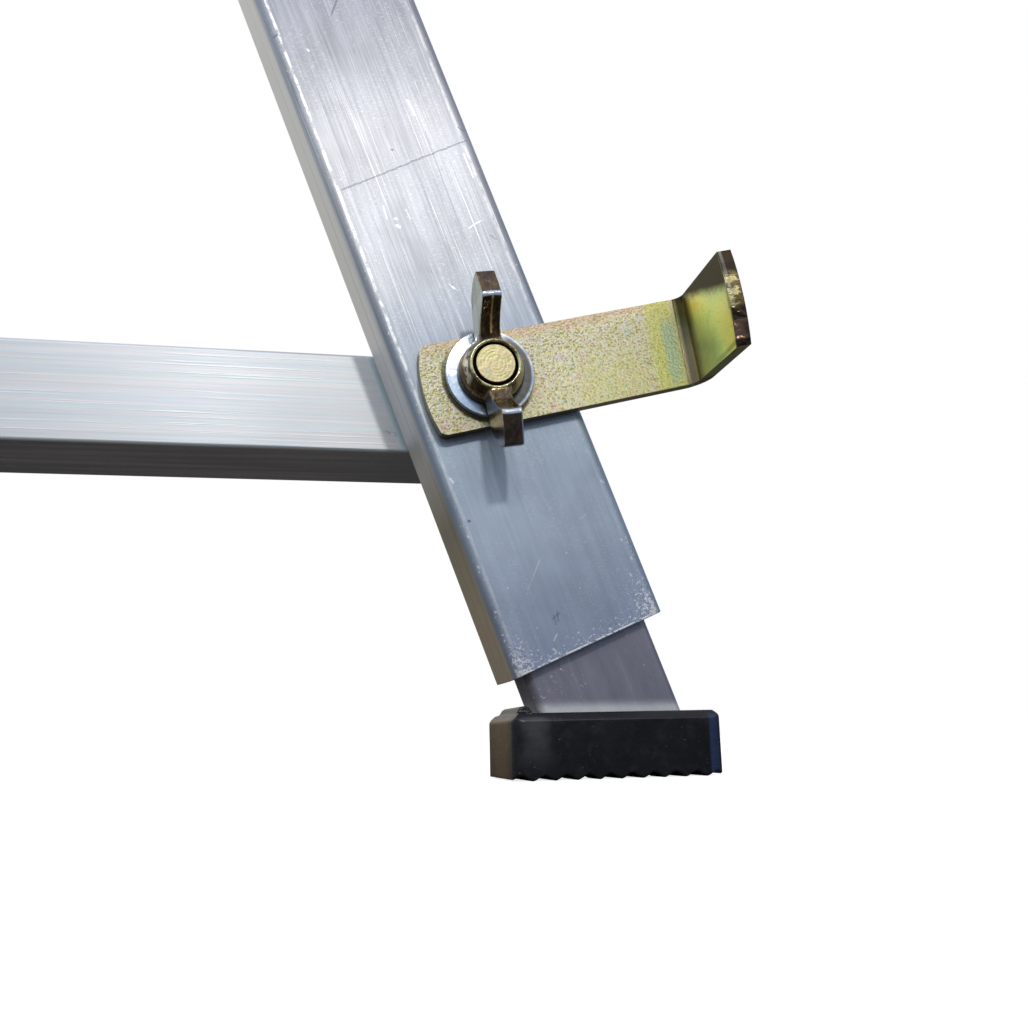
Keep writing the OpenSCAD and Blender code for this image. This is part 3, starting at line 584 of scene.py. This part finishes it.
def nut_metal(side):
    """Thick, glossy yellow chromate over a cast nut."""
    m = Mat(("right" if side > 0 else "left") + "_nut_yellow")
    shift = 0.0 if side > 0 else 71.0
    u, y, v = at = along(m, m.place(), side, 0.0)
    cloud = m.stretched(at, (0.30, 0.30, 0.22), 4, 0.65, shift)
    drip = m.stretched(at, (1.5, 1.5, 0.07), 3, 0.6, shift + 5)
    col = m.ramp(cloud, (0.32, (0.05, 0.03, 0.02)), (0.46, (0.13, 0.085, 0.04)), (0.55, (0.24, 0.17, 0.07)),
                 (0.66, (0.17, 0.10, 0.06)))
    col = m.mix(m.mul(m.step(drip, 0.50, 0.64), 0.5), col, (0.05, 0.032, 0.022))
    col = m.mix(m.mul(m.step(drip, 0.44, 0.35), 0.50), col, (0.60, 0.42, 0.20))
    nx, ny, _ = m.facing()
    wander = m.scaled(drip, 0.5, -0.25)
    # painted highlight: a bright line down the front of each wing, made less metallic so it shows
    spine_highlight = m.line(m.add(u, wander), v, (-0.98, 7.2), (-1.80, 12.9), 0.10, 0.28)
    spine_highlight = m.mul(spine_highlight, m.step(ny, -0.25, -0.45))
    col = m.mix(m.mul(spine_highlight, 0.9), col, (1.0, 0.62, 0.28))
    # painted light: the wings' side faces are lightened, the upper wing far more than the lower
    flank = m.step(m.abs(nx), 0.62, 0.86)
    r = m.radius(u, v)
    flank = m.mul(flank, m.step(m.add(r, m.mul(cloud, 2.0)), 8.2, 10.2))
    col = m.mix(m.mul(flank, m.scaled(m.step(v, -9, 2), 0.76, 0.02)), col, (0.62, 0.64, 0.44))
    # painted highlight: a pale ring on the rim round the bore, wider low down, and a cream gleam on the
    # hub's left, both made less metallic
    below = m.step(m.add(v, m.mul(cloud, 4.0)), 4.0, 0.0)
    reach = m.sub(r, m.mul(below, 0.16))
    ring = m.mul(m.band(reach, 5.50, 0.24, 0.12), m.step(y, -11.0, -11.8))
    gleam = m.band(m.add(r, m.mul(drip, 0.8)), 7.05, 0.35, 0.35)
    gleam = m.mul(gleam, m.step(m.sub(u, m.mul(v, 0.3)), -3.6, -4.8))
    gleam = m.mul(gleam, m.mul(m.step(cloud, 0.44, 0.52), m.step(y, -7.5, -9.0)))
    col = m.mix(m.mul(gleam, 0.8), col, (1.0, 0.95, 0.72))
    patchy = m.scaled(m.step(cloud, 0.58, 0.46), 0.7, 0.20)
    ring = m.mul(ring, patchy)
    col = m.mix(ring, col, (0.95, 0.96, 0.50))
    # painted highlight: blue-white glints along the wings' top ridge and the lower wing's right edge
    crest = m.mul(m.band(r, 13.75, 0.40, 0.30), m.step(ny, -0.2, -0.5))
    edge_glint = m.mul(m.band(nx, 0.50, 0.20, 0.20), m.step(v, -12.2, -13.4))
    glint = m.most(crest, m.mul(edge_glint, 0.7))
    col = m.mix(m.mul(m.step(v, 13.4, 14.6), 0.35), col, (0.045, 0.030, 0.012))
    tip = m.mul(m.step(v, -13.6, -14.4), m.scaled(m.step(drip, 0.52, 0.42), 0.45, 0.25))
    col = m.mix(tip, col, (0.24, 0.21, 0.23))
    col = m.mix(m.mul(glint, 0.85), col, (0.72, 0.84, 1.0))
    # painted shade: the bore's edge, where the bolt meets the nut, is near black
    col = m.mix(m.mul(m.step(r, 5.20, 5.10), m.step(y, -8.0, -9.0)), col, (0.03, 0.02, 0.012))
    m.set("Base Color", col)
    shine = m.most(m.most(ring, spine_highlight), m.most(glint, m.mul(gleam, 0.8)))
    m.set("Metallic", m.scaled(shine, -0.60, 0.86))
    m.set("Roughness", m.scaled(cloud, 0.20, 0.05))
    fine = m.stretched(at, (1.0, 1.0, 0.8), 3, 0.55, shift + 11)
    m.set("Normal", m.bump(m.add(fine, m.mul(drip, 0.6)), 0.40, 0.00026))
    m.b.inputs["Coat Weight"].default_value = 0.55
    m.b.inputs["Coat Roughness"].default_value = 0.03
    m.b.inputs["Coat IOR"].default_value = 1.6
    return m.m


def bolt_metal(side):
    """Pale gold, with turned rings on the end."""
    m = Mat(("right" if side > 0 else "left") + "_bolt_yellow")
    u, y, v = at = along(m, m.place(), side, 0.0)
    r = m.radius(u, v)
    mottle = m.stretched(at, (0.7, 0.7, 0.7), 4, 0.65, 3)
    rings = m.math("SINE", m.mul(m.add(r, m.mul(mottle, 0.5)), 8.5))
    col = m.ramp(mottle, (0.34, (0.40, 0.39, 0.18)), (0.47, (0.56, 0.50, 0.29)), (0.56, (0.55, 0.44, 0.27)),
                 (0.66, (0.46, 0.47, 0.32)))
    col = m.mix(m.scaled(rings, 0.045, 0.10), col, (0.30, 0.24, 0.10))
    # painted shade: the bolt end's outer edge is near black where it meets the nut
    col = m.mix(m.mul(m.step(r, 4.44, 4.54), m.step(y, 0.0, -1.0)), col, (0.03, 0.02, 0.012))
    m.set("Base Color", col)
    m.b.inputs["Metallic"].default_value = 0.8
    m.set("Roughness", m.scaled(mottle, 0.2, 0.30))
    m.set("Normal", m.bump(m.add(m.mul(rings, 0.05), m.mul(mottle, 1.2)), 0.5, 0.00012))
    return m.m


def zinc_metal():
    """Bright, slightly blue zinc plating with fine turned rings."""
    m = Mat("zinc")
    p = m.place()
    x, y, z = m.split(p)
    outboard = m.sub(m.abs(m.add(x, BOLT_X / MM)), BOLT_X / MM)
    r = m.radius(outboard, z)
    wear = m.noise(p, 0.8, 4, 0.65)
    rings = m.noise(m.join(m.mul(r, 3.5), 0.0, 0.0), 1, 3, 0.7)
    col = m.ramp(wear, (0.37, (0.52, 0.62, 0.76)), (0.49, (0.72, 0.77, 0.84)), (0.60, (0.88, 0.88, 0.82)))
    col = m.mix(m.mul(rings, 0.25), col, (0.55, 0.62, 0.74))
    # painted reflection and shade of the hub: the washer is darkened close to the hub on its right
    hub_reflection = m.mul(m.step(r, 10.1, 9.5), m.step(y, -5.3, -5.6))
    hub_reflection = m.mul(hub_reflection, m.step(m.sub(outboard, m.mul(z, 0.3)), -3.5, 3.0))
    cool = m.mul(m.step(outboard, 3.0, -5.0), m.step(m.add(z, m.mul(wear, 4.0)), 4.0, -6.0))
    col = m.mix(m.mul(cool, 0.85), col, (0.36, 0.52, 0.75))
    col = m.mix(0.20, col, (0.28, 0.28, 0.28))
    col = m.mix(m.mul(hub_reflection, 0.92), col, (0.12, 0.11, 0.09))
    m.set("Base Color", col)
    m.b.inputs["Metallic"].default_value = 0.9
    m.set("Roughness", m.scaled(wear, 0.20, 0.12))
    m.set("Normal", m.bump(m.add(m.mul(rings, 0.6), wear), 0.12, 0.0001))
    return m.m


# ---------------------------------------------------------------- rubber and plastic
def rubber_skin():
    m = Mat("foot_rubber")
    p = m.place()
    cloud = m.noise(p, 0.09, 4, 0.6)
    grain = m.noise(p, 2.4, 3, 0.6)
    streak = m.noise(m.vmath("MULTIPLY", p, (0.10, 0.4, 1.6)), 1, 3, 0.7)
    col = m.mix(cloud, (0.003, 0.003, 0.005), (0.010, 0.010, 0.014))
    dust = m.mul(m.step(m.noise(p, 0.9, 4, 0.75), 0.64, 0.72), 0.35)
    col = m.mix(dust, col, (0.16, 0.16, 0.17))
    scratch = m.step(m.noise(m.vmath("MULTIPLY", p, (0.45, 0.5, 2.6)), 1, 2, 0.6), 0.70, 0.73)
    col = m.mix(m.mul(scratch, 0.5), col, (0.25, 0.25, 0.27))
    x, y, z = m.split(p)
    out = m.sub(m.abs(m.add(x, BOLT_X / MM)), BOLT_X / MM)
    dull = m.scaled(streak, 0.5, 0.75)
    # painted reflection: the foot's inner side is browned
    side_reflection = m.mul(m.mul(m.step(out, 5.6, 3.6), m.step(y, 31.0, 12.0)), m.step(y, -3.5, 7.0))
    col = m.mix(m.mul(m.mul(side_reflection, 0.9), dull), col, (0.13, 0.066, 0.02))
    # painted reflection: a dark blue strip on the foot's outer front corner
    foot_corner_reflection = m.mul(m.band(out, 50.3, 0.9, 0.7), m.step(y, -3.0, -3.8))
    col = m.mix(m.mul(m.mul(foot_corner_reflection, 0.8), dull), col, (0.026, 0.048, 0.12))
    drift = m.scaled(m.noise(p, 0.22, 3, 0.6), 7.0, -3.5)
    front = m.step(y, -3.0, -3.8)
    sheen = m.mul(m.band(m.add(out, drift), 9.0, 0.6, 4.6), m.mul(m.step(m.add(z, drift), -94, -78), front))
    col = m.mix(m.mul(m.mul(sheen, 0.75), dull), col, (0.085, 0.092, 0.097))
    blotch = m.mul(m.step(m.noise(p, 0.28, 3, 0.65), 0.50, 0.66), front)
    col = m.mix(m.mul(blotch, 0.35), col, (0.028, 0.030, 0.032))
    m.set("Base Color", col)
    m.set("Roughness", m.add(m.scaled(cloud, 0.22, 0.14), m.mul(streak, 0.10)))
    m.b.inputs["Specular IOR Level"].default_value = 0.4
    m.set("Normal", m.bump(m.add(m.mul(grain, 0.5), m.mul(cloud, 5.0)), 0.18, 0.0002))
    return m.m


def black_plastic():
    m = Mat("black_plastic")
    p = m.place()
    grain = m.noise(p, 3.0, 3, 0.6)
    cloud = m.noise(p, 0.2, 3, 0.6)
    m.set("Base Color", m.mix(cloud, (0.018, 0.018, 0.020), (0.045, 0.045, 0.048)))
    m.set("Roughness", m.scaled(grain, 0.2, 0.45))
    m.set("Normal", m.bump(grain, 0.3, 0.0001))
    return m.m


# ---------------------------------------------------------------- meshes
def new_mesh(name, verts, faces):
    me = bpy.data.meshes.new(name)
    me.from_pydata([tuple(v) for v in verts], [], faces)
    me.update()
    return me


def lathe(profile, steps=96, radius=None):
    """A closed solid of revolution about +Z from (radius, height) points. radius(r, a) may reshape it."""
    verts, faces = [], []
    n = len(profile)
    for i in range(steps):
        a = 2 * math.pi * i / steps
        for r, h in profile:
            q = radius(r, a) if radius else r
            verts.append((q * math.cos(a), q * math.sin(a), h))
    for i in range(steps):
        j = (i + 1) % steps
        for k in range(n):
            l = (k + 1) % n
            faces.append((i * n + k, j * n + k, j * n + l, i * n + l))
    return verts, faces


def prism(points, thick):
    """A closed slab: points are (x, z), extruded along Y to thick(z)."""
    n = len(points)
    verts = [(x, s * thick(z) / 2, z) for s in (-1, 1) for x, z in points]
    faces = [tuple(range(n)), tuple(range(2 * n - 1, n - 1, -1))]
    faces += [(i, i + n, (i + 1) % n + n, (i + 1) % n) for i in range(n)]
    return verts, faces


def merged(*parts):
    verts, faces = [], []
    for v, f in parts:
        base = len(verts)
        verts += v
        faces += [tuple(i + base for i in face) for face in f]
    return verts, faces


def remeshed(name, parts, voxel):
    """The union of closed parts as one even skin, with coordinates in millimetres."""
    verts, faces = merged(*parts)
    o = bpy.data.objects.new(name, new_mesh(name, verts, faces))
    bpy.context.scene.collection.objects.link(o)
    mod = o.modifiers.new("skin", "REMESH")
    mod.mode = "VOXEL"
    mod.voxel_size = voxel
    shape = bpy.data.meshes.new_from_object(o.evaluated_get(bpy.context.evaluated_depsgraph_get()))
    bpy.data.objects.remove(o)
    return shape


def relax(me, weight, rounds):
    """Moves each point towards its neighbours' mean by weight, a number for each point."""
    n = len(me.vertices)
    co = np.zeros(n * 3)
    me.vertices.foreach_get("co", co)
    co = co.reshape(-1, 3)
    edges = np.zeros(len(me.edges) * 2, int)
    me.edges.foreach_get("vertices", edges)
    a, b = edges.reshape(-1, 2).T
    count = np.bincount(a, minlength=n) + np.bincount(b, minlength=n)
    for _ in range(rounds):
        total = np.zeros((n, 3))
        for k in range(3):
            total[:, k] = np.bincount(a, co[b, k], n) + np.bincount(b, co[a, k], n)
        w = weight(co)[:, None]
        co += (total / count[:, None] - co) * w
    me.vertices.foreach_set("co", co.ravel())
    me.update()


def stand(name, me, matrix, body, material, nodes=()):
    """Puts a mesh in millimetres into the frame by a matrix, and rides it on a body."""
    me = me.copy()
    me.name = name
    me.transform(matrix)
    if matrix.determinant() < 0:
        me.flip_normals()
    for poly in me.polygons:
        poly.use_smooth = True
    me.materials.clear()
    me.materials.append(material)
    o = bpy.data.objects.new(name, me)
    bpy.context.scene.collection.objects.link(o)
    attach(o, body)
    if nodes:
        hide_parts(*nodes)
    return o


def side_matrix(side, at_y, turn=0.0):
    """Millimetres about the bolt's axis, with local +Z to the front and local +X upwards, into the frame."""
    axes = Matrix(((0, 1, 0, 0), (0, 0, -1, 0), (1, 0, 0, 0), (0, 0, 0, 1)))
    spin = Matrix.Rotation(-turn, 4, "Y")
    place = Matrix.Translation((BOLT_X, LEG_Y + at_y * MM, BOLT_Z))
    flip = Matrix.Diagonal((side, 1, 1, 1))
    return flip @ place @ spin @ Matrix.Scale(MM, 4) @ axes


def smooth_by_angle(o, degrees):
    o.data.set_sharp_from_angle(angle=math.radians(degrees))


# The wing nut's outlines, (out from its axis, up from its base) in millimetres
NUT_HUB = [(5.08, 0), (7.7, 0), (7.85, 0.15), (7.85, 1.1), (7.6, 2.4), (7.0, 4.0), (6.3, 5.3), (5.9, 6.1),
           (5.6, 6.35), (5.08, 6.35)]
NUT_RIM = [(5.06, 5.2), (5.06, 5.95), (5.35, 6.45), (5.60, 6.58), (5.85, 6.50), (6.02, 6.2), (6.05, 5.6),
           (5.9, 5.2)]
WING = [(5.4, 0.4), (8.9, 0.6), (11.6, 1.2), (14.6, 2.2), (17.2, 3.8), (19.0, 5.9), (20.2, 8.2),
        (20.55, 10.2), (20.3, 11.0), (17.2, 12.55), (14.2, 13.85), (13.5, 13.9), (12.8, 13.5), (11.6, 11.4),
        (10.2, 9.2), (8.8, 7.7), (7.6, 6.9), (6.5, 6.3), (5.4, 6.2)]
WING_FRONT_T, WING_BACK_T = 4.5, 5.3
NUT_VOXEL = 0.27


def fine_outline(points, step):
    """The same closed outline with a point at least every step."""
    out = []
    for (x0, y0), (x1, y1) in zip(points, points[1:] + points[:1]):
        n = max(1, math.ceil(math.hypot(x1 - x0, y1 - y0) / step))
        out += [(x0 + (x1 - x0) * i / n, y0 + (y1 - y0) * i / n) for i in range(n)]
    return out


def wing_thickness(height):
    t = min(max((height - 4) / 5.5, 0), 1)
    return WING_BACK_T + (WING_FRONT_T - WING_BACK_T) * t


def make_nut():
    hub = lathe(NUT_HUB)
    wings = []
    for s in (1, -1):
        verts, faces = prism(fine_outline(WING, 0.6), wing_thickness)
        wings.append(([(s * x, s * y, z) for x, y, z in verts], faces))
    me = remeshed("nut", [hub, *wings], NUT_VOXEL)

    def weight(co):
        r = np.hypot(co[:, 0], co[:, 1])
        root = np.exp(-(((r - 7.4) / 1.5) ** 2)) * np.clip((co[:, 2] - 1.2) / 1.5, 0, 1)
        return 0.5 * np.clip(0.02 + root, 0, 1)

    relax(me, lambda co: np.full(len(co), 0.5), 2)
    relax(me, weight, 26)
    return me


def make_bolt():
    end = depth(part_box("right_clamp_bolt")[0].y)
    reach = HEAD_Y - end
    rings = [(0.001, -0.02)]
    for i in range(1, 13):
        rings.append((0.36 * i, -0.030 + 0.0015 * (i % 2)))
    shank = rings + [(4.42, -0.03), (4.52, -0.12), (4.66, -0.45), (4.98, -0.80)]
    z, crest = -0.8, True
    while z > -13:
        z -= 0.5
        crest = not crest
        shank.append((4.98 if crest else 4.62, z))
    shank += [(4.98, z - 0.5), (4.98, -reach), (0.001, -reach)]
    body = lathe(shank[::-1], 64)
    top = -(reach + 6.4)
    head_r = 17 / math.sqrt(3)

    def hexagon(r, a):
        k = (a % (math.pi / 3)) - math.pi / 6
        return min(r, head_r * math.cos(math.pi / 6) / math.cos(k))

    head = [(0.001, -reach), (8.3, -reach), (12, -reach - 0.02), (12, top + 1.2), (9.3, top + 0.75),
            (8.7, top + 0.35), (8.0, top), (6.2, top), (6.0, top + 0.15), (0.001, top + 0.15)]
    cap = lathe(head[::-1], 96, hexagon)
    verts, faces = merged(body, cap)
    return new_mesh("bolt", verts, faces)


nut_mesh = make_nut()
rim_verts, rim_faces = lathe(NUT_RIM, 128)
rim_mesh = new_mesh("rim", rim_verts, rim_faces)
bolt_mesh = make_bolt()


# ---------------------------------------------------------------- the CAD's own nodes
def crease_flats(me):
    """Marks the shallow edges round each front or back flat as sharp, so a bend's shading stays off it."""
    def place(ends):
        return tuple(sorted(tuple(round(c * 2e5) for c in me.vertices[i].co) for i in ends))

    owners = {}
    for poly in me.polygons:
        for ends in poly.edge_keys:
            owners.setdefault(place(ends), []).append(poly.normal.copy())
    for edge in me.edges:
        sides = owners.get(place(edge.vertices), [])
        if len(sides) == 2 and max(abs(n.y) for n in sides) > 0.99995:
            if 0.005 < sides[0].angle(sides[1]) < 0.6:
                edge.use_edge_sharp = True


def dress(node, mat, edge=None, limit=35):
    """Gives a CAD node its material and, with edge, softened corners of that size in millimetres."""
    o = NODES[node]
    o.data.materials.clear()
    o.data.materials.append(mat)
    if edge:
        for poly in o.data.polygons:
            poly.use_smooth = True
        crease_flats(o.data)
        weld = o.modifiers.new("weld", "WELD")
        weld.merge_threshold = 2e-6
        bevel = o.modifiers.new("edges", "BEVEL")
        bevel.width = edge * MM
        bevel.segments = 2
        bevel.limit_method = "ANGLE"
        bevel.angle_limit = math.radians(limit)
        bevel.harden_normals = True
        o.modifiers.new("shade", "WEIGHTED_NORMAL").keep_sharp = True


def soften(node, voxel, rounds):
    """Gives a CAD node an even skin of small faces and melts its edges."""
    o = NODES[node]
    skin = o.modifiers.new("skin", "REMESH")
    skin.mode = "VOXEL"
    skin.voxel_size = voxel * MM
    skin.use_smooth_shade = True
    soft = o.modifiers.new("soft", "SMOOTH")
    soft.factor = 0.5
    soft.iterations = rounds


zinc, rubber, plastic = zinc_metal(), rubber_skin(), black_plastic()
dress("crossbar", bar_metal(), 0.12)
for name, side in SIDES.items():
    dress(name + "_outer_leg_tube", leg_metal(side), 0.14)
    dress(name + "_inner_leg_tube", inner_metal(side), 0.1)
    dress(name + "_lever_plate", plate_metal(side), 0.45)
    dress(name + "_rubber_foot", rubber)
    soften(name + "_rubber_foot", 0.33, 3)
    for n in ("leg_top_plug", "crossbar_end_plug"):
        dress(name + "_" + n, plastic, 0.3)
    for n in ("lower_guide", "inner_top_glide", "foot_plug"):
        dress(name + "_" + n, plastic)
    for n in ("stile_bush", "foot_screws", "rear_washer", "crossbar_sleeve"):
        dress(name + "_" + n, zinc)
    dress(name + "_front_washer", zinc, 0.22)
    nut = nut_metal(side)
    bolt = bolt_metal(side)
    nut_at = side_matrix(side, NUT_Y, WING_TURN)
    stand(name + "_nut_body", nut_mesh, nut_at, name + "_nut", nut, [name + "_wing_nut"])
    stand(name + "_nut_rim", rim_mesh, nut_at, name + "_nut", nut)
    bolt_at = side_matrix(side, depth(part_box("right_clamp_bolt")[0].y))
    piece = stand(name + "_bolt", bolt_mesh, bolt_at, "frame", bolt, [name + "_clamp_bolt"])
    smooth_by_angle(piece, 32)


# ---------------------------------------------------------------- floor and light
FLOOR_SIZE, DOME_RADIUS = 7.0, 7.5
KEY_RISE, KEY_FAR, KEY_SIZE = 29, 1.25, 0.08  # degrees up, metres away, metres across
KEYS = (("key", 3, 2.7), ("key_left", -10, 1.3))  # name, degrees to the right, watts
KEY_COLOUR = (1.0, 0.985, 0.95)


def camera_only(o):
    o.visible_diffuse = o.visible_glossy = o.visible_transmission = False
    o.visible_volume_scatter = o.visible_shadow = False


def floor_mesh(name, z):
    s = FLOOR_SIZE
    me = new_mesh(name, [(-s, -s, z), (s, -s, z), (s, s, z), (-s, s, z)], [(0, 1, 2, 3)])
    o = bpy.data.objects.new(name, me)
    bpy.context.scene.collection.objects.link(o)
    return o


def make_stage():
    floor = floor_mesh("floor", 0.0)
    camera_only(floor)
    m = Mat("floor")
    m.set("Base Color", (0.5, 0.5, 0.5))
    m.b.inputs["Roughness"].default_value = 1
    m.b.inputs["Specular IOR Level"].default_value = 0
    m.set("Emission Color", (1.0, 1.0, 1.0))
    m.b.inputs["Emission Strength"].default_value = 0.80
    m.m.cycles.emission_sampling = "NONE"
    floor.data.materials.append(m.m)

    ground = floor_mesh("ground", -0.0006)
    ground.visible_camera = False
    m = Mat("ground")
    m.set("Base Color", (0.045, 0.04, 0.035))
    m.b.inputs["Roughness"].default_value = 0.9
    ground.data.materials.append(m.m)

    verts, faces = [], []
    rows, cols = 24, 48
    for i in range(rows + 1):
        e = math.pi * (i / rows - 0.5)
        for j in range(cols):
            a = 2 * math.pi * j / cols
            flat = DOME_RADIUS * math.cos(e)
            verts.append((flat * math.cos(a), flat * math.sin(a), DOME_RADIUS * math.sin(e)))
    for i in range(rows):
        for j in range(cols):
            k = (j + 1) % cols
            faces.append((i * cols + j, (i + 1) * cols + j, (i + 1) * cols + k, i * cols + k))
    dome = bpy.data.objects.new("backdrop", new_mesh("backdrop", verts, faces))
    bpy.context.scene.collection.objects.link(dome)
    camera_only(dome)
    m = Mat("backdrop")
    m.set("Base Color", (0.0, 0.0, 0.0))
    m.b.inputs["Specular IOR Level"].default_value = 0
    m.set("Emission Color", (1.0, 1.0, 1.0))
    m.b.inputs["Emission Strength"].default_value = 1.0
    m.m.cycles.emission_sampling = "NONE"
    dome.data.materials.append(m.m)


def area(name, pos, target, power):
    d = bpy.data.lights.new(name, "AREA")
    d.shape = "RECTANGLE"
    d.size = d.size_y = KEY_SIZE
    d.energy = power
    d.color = KEY_COLOUR
    o = bpy.data.objects.new(name, d)
    bpy.context.scene.collection.objects.link(o)
    o.location = pos
    o.rotation_mode = "QUATERNION"
    o.rotation_quaternion = (Vector(target) - Vector(pos)).to_track_quat("-Z", "Y")


def make_world():
    """A soft room of light: bright high up in front and to the left, dark blue to the right, pale behind."""
    w = bpy.data.worlds.new("world")
    bpy.context.scene.world = w
    w.use_nodes = True
    m = Mat.__new__(Mat)
    m.t = w.node_tree
    d = m.t.nodes.new("ShaderNodeTexCoord").outputs["Generated"]
    x, y, z = m.split(d)
    across = m.math("SQRT", m.add(m.mul(x, x), m.mul(y, y)))
    facing = m.math("DIVIDE", m.mul(y, -1.0), m.most(across, 0.01))
    up = m.most(z, 0.0)
    front = m.ramp(up, (0.00, (0.10, 0.12, 0.16)), (0.10, (0.16, 0.20, 0.27)), (0.22, (0.30, 0.36, 0.44)),
                   (0.34, (0.50, 0.56, 0.64)), (0.46, (0.85, 0.88, 0.92)), (0.56, (1.00, 1.00, 1.00)),
                   (0.70, (0.80, 0.80, 0.92)), (1.00, (0.60, 0.60, 0.70)))
    back = m.ramp(up, (0.00, (0.24, 0.21, 0.15)), (0.15, (0.42, 0.40, 0.34)), (0.35, (0.75, 0.76, 0.72)),
                  (0.60, (0.95, 0.96, 0.96)), (1.00, (0.60, 0.60, 0.70)))
    right = m.ramp(up, (0.00, (0.04, 0.055, 0.10)), (0.25, (0.09, 0.12, 0.18)), (0.50, (0.30, 0.34, 0.42)),
                   (1.00, (0.60, 0.60, 0.70)))
    left = m.ramp(up, (0.00, (0.40, 0.44, 0.50)), (0.20, (0.70, 0.76, 0.84)), (0.45, (1.10, 1.15, 1.20)),
                  (1.00, (0.60, 0.60, 0.70)))
    flank = m.mix(m.step(x, 0.25, -0.25), right, left)
    col = m.mix(m.step(facing, 0.25, 0.80), flank, front)
    col = m.mix(m.step(facing, -0.45, -0.85), col, back)
    back_node = m.t.nodes["Background"]
    m.put(back_node.inputs[0], col)
    back_node.inputs[1].default_value = 1.0


def make_lights():
    make_world()
    target = at_bolt(0, 0, 0)
    rise = math.radians(KEY_RISE)
    for name, turn, power in KEYS:
        turn = math.radians(turn)
        way = Vector((math.sin(turn) * math.cos(rise), -math.cos(turn) * math.cos(rise), math.sin(rise)))
        area(name, target + way * KEY_FAR, target, power)


make_stage()
make_lights()
bpy.context.scene.view_settings.view_transform = "Standard"
